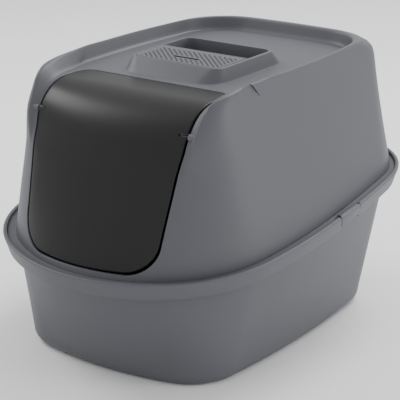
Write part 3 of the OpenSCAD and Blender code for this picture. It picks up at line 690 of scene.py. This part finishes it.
def hoodCurves(v):
    g = doorway["gap"]
    xc, zc = doorway["halfLow"] - doorway["lowRadius"], doorway["bottom"] + doorway["lowRadius"]
    r = doorway["lowRadius"] + g
    # the doorway's edge D: bottom, lower corner, side up to where the crest fades in
    turn = np.radians(np.linspace(-90, 0, v["lowCorner"] + 1))[:-1]
    zSide = np.linspace(zc, v["fade"], v["lowSide"] + 1)[:-1]
    under = np.linspace(0, xc, v["underDoor"] + 1)[:-1]
    dx = np.concatenate([under, xc + r * np.cos(turn), doorHalf(zSide, g)])
    dz = np.concatenate([np.full_like(under, doorway["bottom"] - g), zc + r * np.sin(turn), zSide])
    kLow = sunkenParam(dx, dz)
    kFade = float(sunkenParam(np.array([doorHalf(v["fade"], g)]), np.array([v["fade"]]))[0])
    # the cheek: D climbs over the bend, C is the crest and F the foot of the crest's inner slope
    u = np.linspace(0, 1, v["cheek"])
    marks = [0, 0.3, 0.56, 0.76, 0.9, 1]
    kD = smoothThrough(u, marks, [kFade, 3.25, 6.3, 7.9, 9.1, 9.475])
    xD = np.full_like(u, doorHalf(v["fade"], g))
    for step in range(4):
        xD = doorHalf(sunkenAt(xD, kD)[:, 2], g)
    edge = np.concatenate([sunkenAt(dx, kLow), sunkenAt(xD, kD)])
    edge[-1] = [doorway["halfTop"] + g, -doorway["trail"], hood["top"]]
    lowCount = len(dx)
    kFoot = smoothThrough(u, marks, [kFade, 3.3, 6.55, 8.05, 9.45, 10.2])
    xFoot = smoothThrough(u, marks, [doorHalf(v["fade"], g) + 3.5, 118.5, 119, 120.5, 127, 133.5])
    footCheek = sunkenAt(xFoot, kFoot)
    xCrest = smoothThrough(u, marks, [doorHalf(v["fade"], g) + 7.5, 125.5, 128.5, 134.5, 141.2, 144.6])
    zCrest = smoothThrough(u, marks, [v["fade"], 309, 341, 359.5, 365.6, hood["crest"]])
    wCheek, hCheek = bodyParam(xCrest, zCrest)
    # around the side and the rear the crest is level
    wAround = evenParams(bodySection(np.float64(hood["crest"])), float(wCheek[-1]), 2, v["around"] + 1)[1:]
    wC = np.concatenate([np.zeros(lowCount), wCheek, wAround])
    hC = np.concatenate([np.zeros(lowCount), hCheek, np.full(v["around"], hood["crest"])])
    # under the fade the line C only follows the doorway's edge, a little way towards the seat
    wD, hD = bodyParam(dx, dz)
    m1, m2, m3 = v["seatMarks"]
    stretches = ((0, m1, v["underDoor"]), (m1, m2, v["lowCorner"]), (m2, m3, v["lowSide"]))
    seatX = np.concatenate([np.linspace(a, b, count + 1)[:-1] for a, b, count in stretches])
    wSeatLow = frontParam(seatX, bodySection(np.full_like(seatX, hood["seat"])))
    away = np.hypot(dz - hood["seat"], 0.5 * (seatX - dx))
    reachBack = np.minimum(v["fadeReach"] / np.maximum(away, v["fadeReach"]), 0.6)
    wC[:lowCount] = mix(wD, wSeatLow, reachBack)
    hC[:lowCount] = mix(hD, hood["seat"], reachBack)
    wSeatCheek = mix(wSeatLow[-1], wCheek[-1], np.linspace(0, 1, v["cheek"] + 1)[1:])
    wSeat = np.concatenate([wSeatLow, wSeatCheek, wAround])
    crest = bodyPoint(wC, hC)
    climb = np.clip((zCrest - v["liftFrom"]) / v["liftRun"], 0, 1)
    crest[:, 2] += v["crestLift"] * np.concatenate([np.zeros(lowCount), climb, np.ones(v["around"])])
    # the foot of the slope round the side and the rear
    fx, fy = ringPoint(wAround, v["footSection"])
    fy = np.where(wAround < 1, np.maximum(fy, v["footStop"]), fy)
    footAround = np.stack([fx, fy, np.full_like(fx, hood["top"])], -1)
    footLow = mix(sunkenAt(dx, kLow), crest[:lowCount], 0.45)
    foot = np.concatenate([footLow, footCheek, footAround])
    inward = footAround * np.array([-1, -1, 0])
    inward /= np.linalg.norm(inward, axis=1, keepdims=True)
    rest = footAround + inward * v["rest"]
    return {"wSeat": wSeat, "wC": wC, "hC": hC, "crest": crest, "foot": foot, "edge": edge, "rest": rest,
            "front": lowCount + v["cheek"], "kD": np.concatenate([kLow, kD]), "xD": np.concatenate([dx, xD])}


def buildHood(v):
    c = hoodCurves(v)
    n = c["front"]
    shares = np.linspace(0, 1, 34)
    # outer wall up to just under the crest, along straight lines in place w and level h
    path = bodyPoint(c["wSeat"], np.full_like(c["wSeat"], hood["seat"]))
    long = np.linalg.norm(c["crest"] - path, axis=1)
    under = np.maximum(1 - v["crestRound"] / np.maximum(long, 1), 0.55)
    s = shares[:, None] * under[None]
    wall = bodyPoint(mix(c["wSeat"][None], c["wC"][None], s), mix(hood["seat"], c["hC"][None], s))
    lifted = (c["crest"][:, 2] - bodyPoint(c["wC"], c["hC"])[:, 2])[None] * s ** 8
    wall[..., 2] += lifted
    last = np.concatenate([c["edge"], c["rest"]])
    slopeTop = along(c["crest"], c["foot"], v["crestRound"])
    slopeLow = along(c["foot"], c["crest"], v["footRound"])
    flat = along(c["foot"], last, v["footRound"], 0.6)
    # the doorway's rounded edge: in from the strip, then down into the wall's thickness
    inner = sunkenAt(c["xD"], c["kD"], hood["wall"])
    inner[-1] = [doorway["halfTop"] + doorway["gap"], -doorway["trail"], hood["top"] - hood["wall"]]
    run = np.gradient(c["edge"], axis=0)
    run /= np.linalg.norm(run, axis=1, keepdims=True)
    out = c["foot"][:n] - c["edge"]
    out -= run * (out * run).sum(1, keepdims=True)
    out /= np.linalg.norm(out, axis=1, keepdims=True)
    out[0], out[-1] = [0, 0, -1], [1, 0, 0]
    stepBack = np.minimum(doorway["edgeRound"], 0.5 * np.linalg.norm(flat[:n] - c["edge"], axis=1))[:, None]
    edgeOuter = c["edge"] + out * stepBack
    edgeInner = along(c["edge"], inner, doorway["edgeRound"])
    border = last.copy()
    border[:n] = edgeOuter
    outer = np.concatenate([wall, rollOver(wall[-1], c["crest"], slopeTop, 7)[1:],
                            rowsBetween(slopeTop, slopeLow, np.linspace(0, 1, 6))[1:],
                            rollOver(slopeLow, c["foot"], flat, 6)[1:],
                            rowsBetween(flat, border, [0.5, 1])])
    lip = np.concatenate([rollOver(edgeOuter, c["edge"], edgeInner, 4), inner[None]])
    # inner face: up the inset body, then along the ceiling to the doorway or to under the slope's foot
    bent = np.minimum(c["kD"], hood["flatFrom"])
    kEnd = np.concatenate([bent, np.full(v["around"], float(hood["flatFrom"]))])
    wEdge = frontParam(c["xD"], sunkenSection(bent, hood["wall"])[0])
    onTop = np.clip((c["kD"] - hood["flatFrom"]) / (c["kD"][-1] - hood["flatFrom"]), 0, 1)
    wEnd = np.concatenate([mix(wEdge, c["wSeat"][:n], onTop), c["wSeat"][n:]])
    t = np.linspace(0, 1, 30)[:, None]
    inside = sunkenPoint(mix(c["wSeat"][None], wEnd[None], t), mix(0, kEnd[None], t), hood["wall"])
    ceilingEdge = np.concatenate([inner, c["rest"] - [0, 0, hood["wall"]]])
    inside = np.concatenate([inside, rowsBetween(inside[-1], ceilingEdge, [0.34, 0.67, 1])])
    seat = np.stack([wall[0], inside[0]])
    # the flat top, from the doorway's trailing edge and the slope's foot to the vent's hole
    arc = np.radians(np.linspace(90, 0, 12))[:-1]
    g = doorway["gap"]
    cx = doorway["halfTop"] - doorway["topRadius"]
    r = doorway["topRadius"] + g
    level = np.linspace(0, cx, 14)[:-1]
    trailX = np.concatenate([level, cx + r * np.cos(arc)])
    trailY = np.concatenate([np.full_like(level, r), r * np.sin(arc)]) - doorway["trail"]
    trail = np.stack([trailX, trailY, np.full_like(trailX, hood["top"])], -1)
    trail = np.concatenate([trail, c["edge"][-1:]])
    away = np.concatenate([np.tile([0.0, 1.0, 0.0], (len(level), 1)),
                           np.stack([np.cos(arc), np.sin(arc), 0 * arc], -1), [[1.0, 0.0, 0.0]]])
    trailOuter = trail + away * doorway["edgeRound"]
    trailOuter[-1] = edgeOuter[-1]
    drop = np.array([0, 0, hood["wall"]])
    trailInner = trail - [0, 0, doorway["edgeRound"]]
    trailLip = np.concatenate([rollOver(trailOuter, trail, trailInner, 4), (trail - drop)[None]])
    trailLip[:, -1] = lip[:, -1]
    # past the middle of its corner the doorway's edge turns back, and a fan closes that last part
    far = int(np.argmax(np.arctan2(trail[:, 1] - vent["middle"], trail[:, 0]))) + 1
    outline = np.concatenate([trailOuter[:far], c["rest"]])
    hole = holeAround(outline)
    apex = np.repeat(c["rest"][:1], len(trail) - far + 1, 0)
    fans = [np.stack([apex, trailOuter[far - 1:]]), np.stack([apex - drop, trail[far - 1:] - drop])]
    top = rowsBetween(outline, hole, np.linspace(0, 1, 5))
    ceilingOutline = np.concatenate([trail[:far] - drop, c["rest"] - drop])
    ceiling = rowsBetween(ceilingOutline, hole - drop, np.linspace(0, 1, 5))
    holeWall = np.stack([hole, hole - drop])
    half = [outer, lip, inside, seat, trailLip, top, ceiling, holeWall, *fans]
    return meshFromGrids("hoodShell", half + [mirrored(grid) for grid in half], shellPlastic, False, 0.01)


def holeAround(outline):
    # where the line from the vent's middle to each point of the outline crosses the hole's oval:
    # |x / holeHalf| ** 8 + |y / holeReach| ** 8 = 1
    middle = np.array([0, vent["middle"], 0])
    way = outline - middle
    size = (np.abs(way[:, 0] / vent["holeHalf"]) ** 8 + np.abs(way[:, 1] / vent["holeReach"]) ** 8) ** (1 / 8)
    hole = middle + way / size[:, None]
    hole[:, 2] = hood["top"]
    return hole


hoodShell = buildHood(shape)
print("hood", len(hoodShell.data.polygons), "faces, open edges", openEdges(hoodShell))

# a scoop across the right crest: its side outline is distance out from the crest and height over it
notch = {"forward": 108, "width": 20, "drop": 18, "slant": 13,
         "side": [[20, -18], [2.5, -18], [-5, 0], [-6.7, 4], [20, 4]]}
notchEnds = [np.array([[hood["crestHalf"] + x, end - notch["forward"] - notch["slant"] * z / notch["drop"],
                        hood["crest"] + z] for x, z in notch["side"]])
             for end in (-notch["width"] / 2, notch["width"] / 2)]
notchMiddles = [np.repeat(end.mean(0)[None], len(end), 0) for end in notchEnds]
cutAway(hoodShell, meshFromGrids("notchCut", [np.stack([notchMiddles[0], *notchEnds, notchMiddles[1]])],
                                 shellPlastic, True))


# vent ring: a profile carried round a rounded rectangle, each point as share of the flare and height

def roundedLoop(half, front, rear, r, z, steps=8):
    # corners as arcs, straight runs between them
    turn = np.radians(np.linspace(0, 90, steps + 1))
    parts = [(half - r, rear - r, turn), (r - half, rear - r, turn + np.pi / 2),
             (r - half, r - front, turn + np.pi), (half - r, r - front, turn + 1.5 * np.pi)]
    return np.concatenate([np.stack([cx + r * np.cos(a), cy + r * np.sin(a), np.full_like(a, z)], -1)
                           for cx, cy, a in parts])


def ringLoop(flare, z, inset=0):
    return roundedLoop(vent["half"] + vent["sideFlare"] * flare - inset,
                       vent["front"] + vent["frontFlare"] * flare - inset,
                       vent["rear"] + vent["rearFlare"] * flare - inset,
                       vent["radius"] + vent["baseRound"] * flare - inset * 0.9, z)


def buildVent(v):
    rise = v["top"] - hood["top"]
    loops = [ringLoop(1.05, hood["top"] - 1.2), ringLoop(1.05, hood["top"] - 0.1)]
    loops += [ringLoop(f, hood["top"] + rise * s) for f, s in
              ((1.0, 0.01), (0.95, 0.04), (0.86, 0.11), (0.6, 0.37), (0.3, 0.67), (0.12, 0.85), (0.05, 0.93))]
    loops += [ringLoop(0, v["top"] - down, inset) for down, inset in
              ((0.5, 0.1), (0.1, 0.6), (0, 1.2), (0, v["edge"] - 0.8), (0.2, v["edge"] - 0.2),
               (0.8, v["edge"]), (rise + v["under"], v["edge"]))]
    ring = meshFromGrids("ring", [np.stack(loops + loops[:1])], shellPlastic, True)
    room = v["half"] - v["edge"]
    low, under = v["top"] - v["pocketDepth"], hood["top"] - v["under"]
    back, (chamberEnd, front) = v["rear"] - v["edge"], v["divider"]

    def pocketLoop(grow, radius, z):
        return roundedLoop(room + grow, grow - front, back + grow, radius, z)

    def pocketWall(grow, radius, bottom):
        # from the upper end of the wall down and over its rounded lower edge
        edge = [pocketLoop(grow - v["pocketRound"] * (1 - math.cos(a)), radius - 6 * (1 - math.cos(a)),
                           bottom + v["pocketRound"] * (1 - math.sin(a)))
                for a in np.radians(np.linspace(0, 90, 7))]
        return [pocketLoop(grow, radius, v["top"] - 1.5), *edge]

    # grip pocket: an open box, up its inside and down its outside, closed in the middle of its floor
    inside = pocketWall(v["pocketIn"], 10.4, low)
    outside = pocketWall(v["pocketOut"], 12, low - v["pocketOut"])
    centre = np.tile([0, (front + back) / 2, low], (len(inside[0]), 1))
    box = [centre, *inside[::-1], *outside, centre - [0, 0, v["pocketOut"]]]
    grip = meshFromGrids("grip", [np.stack(box)], shellPlastic, True)
    # divider between chamber and pocket, and the shelf round the chamber
    side, near, far = room + 1, chamberEnd, front - 0.2
    bar = prism("bar", [[-side, near], [side, near], [side, far], [-side, far]], low + 2, v["top"] - 0.5, "z",
                shellPlastic)
    bevelEdges(bar, 0.5)

    def shelfLoop(grow, radius, z):
        return roundedLoop(room + grow, v["front"] - v["edge"] + grow, chamberEnd + grow, radius, z)

    shelfLoops = [shelfLoop(1, 10, v["shelf"]), shelfLoop(-6, 5, v["shelf"]), shelfLoop(-6, 5, under),
                  shelfLoop(1, 10, under)]
    shelf = meshFromGrids("shelf", [np.stack(shelfLoops + shelfLoops[:1])], shellPlastic, True)
    return joined("ventFrame", [ring, grip, bar, shelf])


ventFrame = buildVent(vent)
finishShading(ventFrame.data, 34)

# pivot bosses in the cheeks beside the doorway, and the door's barrels between inner and outer
pivot = {
    "y": -184.24, "z": 315.643, "boss": 5.0, "bossBore": 2.0, "bossFrom": 114.7, "bossLong": 9.7,
    "bossEdge": 0.7, "barrel": 4.5, "bore": 2.1, "slit": 0.8, "slitTurn": 58, "inner": 102.0, "outer": 113.0,
}


def onPivot(x):
    return (x, pivot["y"], pivot["z"])


bosses = []
for side in (-1, 1):
    bore, radius, long = pivot["bossBore"], pivot["boss"], pivot["bossLong"]
    profile = [(bore, 0.0), (radius - pivot["bossEdge"], 0.0), (radius, pivot["bossEdge"]), (radius, long),
               (bore, long), (bore, 0.0)]
    bosses.append(tube("boss", profile, onPivot(side * pivot["bossFrom"]),
                       onPivot(side * (pivot["bossFrom"] + long)), shellPlastic, 36))
hoodBosses = joined("pivotBosses", bosses)
for piece in (hoodShell, ventFrame, hoodBosses):
    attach(piece, "hood_body")
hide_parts("hood")
print("hood, vent and bosses built")


# door

door = {"wall": 2.8, "round": 1.9, "columns": 90, "rows": 120}


def doorOutlineDistance(x, s, halfAt, lowS, highS):
    # distance inside the door's outline, unrolled flat: x across and s along the bend; both pairs of
    # corners are arcs, so the distance is that of the nearest of the sides, the ends and the arcs
    r1, r2 = doorway["lowRadius"], doorway["topRadius"]
    toSide, toLow, toHigh = halfAt - np.abs(x), s - lowS, highS - s
    plain = np.minimum(np.minimum(toSide, toLow), toHigh)
    arc1 = r1 - np.hypot(np.maximum(r1 - toSide, 0), np.maximum(r1 - toLow, 0))
    arc2 = r2 - np.hypot(np.maximum(r2 - toSide, 0), np.maximum(r2 - toHigh, 0))
    near1, near2 = (toSide < r1) & (toLow < r1), (toSide < r2) & (toHigh < r2)
    return np.where(near1, arc1, np.where(near2, arc2, plain))


def buildDoor(v):
    # rows follow the front and the bend; each row runs from edge to edge of the outline
    kLow = float(sunkenParam(np.array([0.0]), np.array([float(doorway["bottom"])]))[0])
    flat = hood["bendStart"] - doorway["trail"] + doorway["topRadius"]
    kEnd = hood["flatFrom"] + flat / hood["flatStep"]
    fine = np.linspace(kLow, kEnd, 1500)
    centre = sunkenAt(np.full_like(fine, 100.0), fine)
    length = np.concatenate([[0], np.cumsum(np.linalg.norm(np.diff(centre, axis=0), axis=1))])
    total = length[-1]
    # rows crowd towards both ends, columns towards both sides
    bunch, past = np.array([0, 0.25, 0.6, 1.1, 1.7, 2.4, 3.5]), 5
    s = np.concatenate([bunch, np.linspace(past, total - past, v["rows"]), total - bunch[::-1]])
    k = np.interp(s, length, fine)
    z = np.interp(s, length, centre[:, 2])
    straight = doorHalf(z, 0)
    r1, r2 = doorway["lowRadius"], doorway["topRadius"]
    inLow = np.clip(r1 - s, 0, r1)
    inHigh = np.clip(r2 - (total - s), 0, r2)
    half = straight - (r1 - np.sqrt(r1 * r1 - inLow ** 2)) - (r2 - np.sqrt(r2 * r2 - inHigh ** 2))
    share, inner = bunch / 100, 1 - past / 100
    across = np.concatenate([-1 + share, np.linspace(-1, 1, v["columns"]) * inner, 1 - share[::-1]])
    x = across[None] * half[:, None]
    kk = np.repeat(k[:, None], len(across), 1)
    base = sunkenAt(x, kk)
    dRow, dCol = np.gradient(base, axis=0), np.gradient(base, axis=1)
    normal = np.cross(dCol, dRow)
    normal /= np.maximum(np.linalg.norm(normal, axis=-1, keepdims=True), 1e-9)
    normal *= np.sign(-normal[..., 1:2] + normal[..., 2:3])
    inside = doorOutlineDistance(x, s[:, None], straight[:, None], 0, total)
    depth = v["round"] - np.sqrt(np.maximum(v["round"] ** 2 - np.maximum(v["round"] - inside, 0) ** 2, 0))
    outer = base - normal * depth[..., None]
    back = base - normal * v["wall"]
    back += normal * np.clip(0.5 - inside, 0, 0.5)[..., None]
    edges = [np.stack([outer[0], back[0]]), np.stack([outer[-1], back[-1]]),
             np.stack([outer[:, 0], back[:, 0]]), np.stack([outer[:, -1], back[:, -1]])]
    return meshFromGrids("doorPanel", [outer, back, *edges], doorPlastic, False, 0.01, 40)


doorPanel = buildDoor(door)
print("door", len(doorPanel.data.polygons), "faces, open edges", openEdges(doorPanel))


def snapBarrel(side, count=40):
    # a ring with a slit, carried along the hinge axis; the slit looks forward and up
    face = math.radians(pivot["slitTurn"])
    cy, cz = -math.sin(face), math.cos(face)
    arcs = []
    for radius, corners in ((pivot["barrel"], count), (pivot["bore"], 30)):
        slit = math.asin(pivot["slit"] / radius)
        turn = np.linspace(slit, 2 * np.pi - slit, corners)
        share = np.linspace(0, 1, corners)
        ahead, aside = [np.interp(np.linspace(0, 1, count), share, radius * wave)
                        for wave in (np.cos(turn), np.sin(turn))]
        arcs.append((pivot["y"] + ahead * cy - aside * cz, pivot["z"] + ahead * cz + aside * cy))
    rings = np.array([[np.stack([np.full(count, x), y, z], -1) for y, z in arcs]
                      for x in (side * pivot["inner"], side * pivot["outer"])])
    walls = [rings[:, 0], rings[:, 1], rings[0], rings[1], rings[:, :, 0], rings[:, :, -1]]
    return meshFromGrids("barrel", walls, doorPlastic, False, 0.002, 35)


# the web that ties a barrel to the panel behind it, as y and z from the pivot
webOutline = [(-1.0, -6.2), (4.4, -2.6), (3.2, 5.0), (1.6, 4.0), (2.6, -1.5), (-2.2, -4.4)]
barrels = []
for side in (-1, 1):
    lower, upper = pivot["inner"] - 0.6, pivot["outer"] + 3
    radius, long = pivot["barrel"] + 0.25, upper - lower
    cutter = tube("cut", [(0, 0), (radius, 0), (radius, long), (0, long)], onPivot(side * lower),
                  onPivot(side * upper), doorPlastic, 48)
    cutAway(doorPanel, cutter, 40)
    barrel = snapBarrel(side)
    bevelEdges(barrel, 0.35, 2, 50)
    ends = sorted((side * (pivot["inner"] - 2.0), side * (pivot["inner"] + 0.4)))
    web = prism("web", [[pivot["y"] + y, pivot["z"] + z] for y, z in webOutline], *ends, "x", doorPlastic)
    barrels += [barrel, web]
doorPanel = joined("doorPanel", [doorPanel, *barrels])
finishShading(doorPanel.data, 40)
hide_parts("door")
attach(doorPanel, "door_body")
print("door built")


# pieces that keep their CAD shape

carried = {"filter_cover": shellPlastic, "filter_grille": shellPlastic, "filter_pad": carbonFoam}
for label in ("door_pin", "cover_pin", "latch_pin"):
    for side in ("left", "right"):
        carried[label + "_" + side] = pinPlastic
for name, material in carried.items():
    nodes[name].data.materials.clear()
    nodes[name].data.materials.append(material)


# floor, light and camera

# each light: its place, what it looks at, size and power; bendGlow is mirrored in the left part of the
# door's bend
studio = {
    "floorColor": (0.95, 0.95, 0.95), "floorHalf": 8, "floorRoughness": 0.8, "worldColor": (1.0, 1.0, 1.0),
    "worldStrength": 0.9,
    "lights": {
        "keyAbove": ((0.2, 1.5, 2.2), (0, 0.05, 0.3), 1.4, 45),
        "bendGlow": ((-1.75, -0.15, 1.6), (-0.07, -0.17, 0.33), 0.9, 20),
        "rightRear": ((2.1, 0.7, 0.7), (0.1, 0, 0.15), 1.0, 14),
    },
}


def areaLight(name, place, aim, size, power):
    light = bpy.data.lights.new(name, "AREA")
    light.shape, light.size, light.energy = "DISK", size, power
    lamp = bpy.data.objects.new(name, light)
    lamp.location = place
    lamp.rotation_euler = (Vector(aim) - Vector(place)).to_track_quat("-Z", "Y").to_euler()
    bpy.context.scene.collection.objects.link(lamp)


def buildStudio(v):
    floorMesh = bpy.data.meshes.new("floor")
    f = v["floorHalf"]
    floorMesh.from_pydata([(-f, -f, 0), (f, -f, 0), (f, f, 0), (-f, f, 0)], [], [(0, 1, 2, 3)])
    floor = bpy.data.objects.new("floor", floorMesh)
    bpy.context.scene.collection.objects.link(floor)
    paint = bpy.data.materials.new("floorPaint")
    paint.use_nodes = True
    shader = paint.node_tree.nodes["Principled BSDF"]
    shader.inputs["Base Color"].default_value = (*v["floorColor"], 1)
    shader.inputs["Roughness"].default_value = v["floorRoughness"]
    floorMesh.materials.append(paint)
    world = bpy.data.worlds.new("studio")
    bpy.context.scene.world = world
    world.use_nodes = True
    sky = world.node_tree.nodes["Background"]
    sky.inputs["Color"].default_value = (*v["worldColor"], 1)
    sky.inputs["Strength"].default_value = v["worldStrength"]
    for name, (place, aim, size, power) in v["lights"].items():
        areaLight(name, place, aim, size, power)


buildStudio(studio)

view = {"azimuth": 35.1, "elevation": 18.8, "distance": 2.0497, "target": (0, 0, 0.165), "lens": 138.3,
        "sensor": 36}
camera = bpy.data.objects.new("camera", bpy.data.cameras.new("camera"))
camera.data.lens, camera.data.sensor_width = view["lens"], view["sensor"]
az, el = math.radians(view["azimuth"]), math.radians(view["elevation"])
back = Vector((math.sin(az) * math.cos(el), -math.cos(az) * math.cos(el), math.sin(el)))
camera.location = Vector(view["target"]) + back * view["distance"]
camera.rotation_euler = back.to_track_quat("Z", "Y").to_euler()
bpy.context.scene.collection.objects.link(camera)
bpy.context.scene.camera = camera
print("studio ready")
